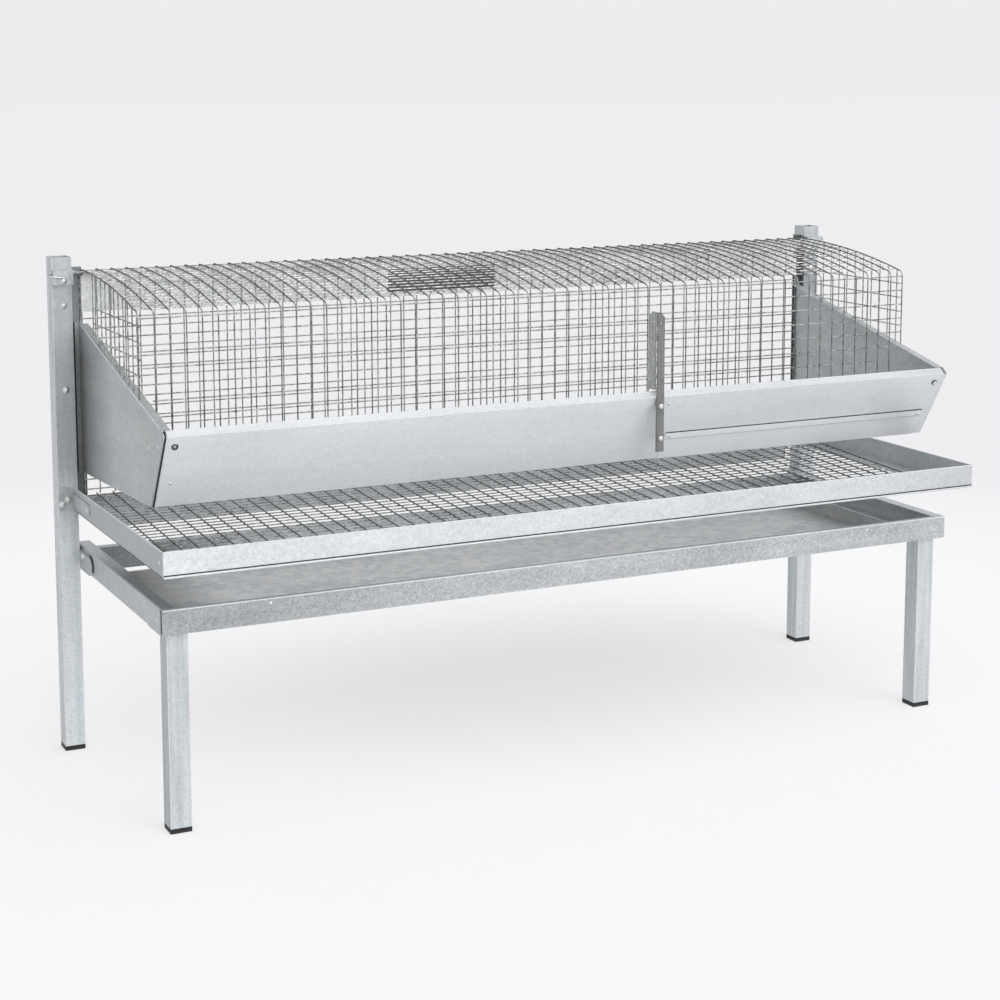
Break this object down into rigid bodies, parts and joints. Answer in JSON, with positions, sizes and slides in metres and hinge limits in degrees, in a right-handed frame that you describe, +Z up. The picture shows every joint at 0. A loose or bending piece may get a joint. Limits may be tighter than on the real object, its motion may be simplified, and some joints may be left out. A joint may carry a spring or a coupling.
{
  "type": "quail cage",
  "caption": "Raised quail cage with a hinged wire hood, a sloping wire floor that rolls eggs to a front tray, a sheet feed trough and a droppings drawer, on square-tube legs.",
  "frame": {"origin": "centre of the footprint of the closed cage, on the ground under its feet", "axes": "+X to the cage's right seen from its front, +Y from the front to the back, +Z up"},
  "size_m": [1.144, 0.4172, 0.628],
  "materials": {
    "square_tube": "galvanised, semi-matt",
    "zinc_sheet": "galvanised, spangled",
    "bright_sheet": "galvanised, fresh",
    "dull_sheet": "galvanised, dull",
    "mesh_wire": "galvanised after welding",
    "plated_bolts": "zinc plated",
    "dark_plate": "matt dark",
    "black_plastic": "moulded, matt"
  },
  "bodies": {
    "stand": {"rear_post_left": "square_tube", "rear_post_right": "square_tube", "front_leg_left": "square_tube", "front_leg_right": "square_tube", "foot_plugs": "black_plastic", "base_rail_left": "zinc_sheet", "base_rail_right": "zinc_sheet", "base_rail_rear": "zinc_sheet", "base_cleat_left": "zinc_sheet", "base_cleat_right": "zinc_sheet", "leg_bracket_left": "zinc_sheet", "leg_bracket_right": "zinc_sheet", "pan_runner_left": "zinc_sheet", "pan_runner_right": "zinc_sheet", "tray_wall_left": "bright_sheet", "tray_wall_right": "bright_sheet", "tray_wall_front": "bright_sheet", "tray_wall_rear": "bright_sheet", "tray_cleat_left": "zinc_sheet", "tray_cleat_right": "zinc_sheet", "floor_line_wires": "mesh_wire", "floor_cross_wires": "mesh_wire", "rear_stile_left": "dull_sheet", "rear_stile_right": "dull_sheet", "rear_line_wires": "mesh_wire", "rear_cross_wires": "mesh_wire", "rear_band": "zinc_sheet", "rear_plate": "dark_plate", "side_panel_left": "zinc_sheet", "side_panel_right": "zinc_sheet", "trough_left": "bright_sheet", "trough_right": "bright_sheet", "trough_apron": "bright_sheet", "centre_upright": "dull_sheet", "upright_sleeves": "zinc_sheet", "hinge_rod": "mesh_wire", "rod_clamp_left": "zinc_sheet", "rod_clamp_right": "zinc_sheet", "stile_bolts": "plated_bolts", "stile_side_bolts": "plated_bolts", "clamp_bolts": "plated_bolts", "tray_cleat_bolts": "plated_bolts", "base_cleat_bolts": "plated_bolts", "leg_bolts": "plated_bolts", "trough_bolts": "plated_bolts", "upright_bolts": "plated_bolts"},
    "drawer": {"drawer_fascia": "bright_sheet", "drawer_pan": "zinc_sheet"},
    "hood": {"hood_curl_wires": "mesh_wire", "hood_top_line_wires": "mesh_wire", "hood_top_cross_wires": "mesh_wire", "hood_bend_wires": "mesh_wire", "hood_front_line_wires": "mesh_wire", "hood_front_cross_wires": "mesh_wire", "hood_end_left_line_wires": "mesh_wire", "hood_end_left_cross_wires": "mesh_wire", "hood_end_right_line_wires": "mesh_wire", "hood_end_right_cross_wires": "mesh_wire"}
  },
  "joints": [
    {"name": "hood_hinge", "type": "hinge", "parent": "stand", "child": "hood", "pos_m": [0, 0.1749, 0.609], "axis": [-1, 0, 0], "range_deg": [0, 100]},
    {"name": "drawer_slide", "type": "slide", "parent": "stand", "child": "drawer", "axis": [0, -1, 0], "range_m": [0, 0.18]}
  ]
}
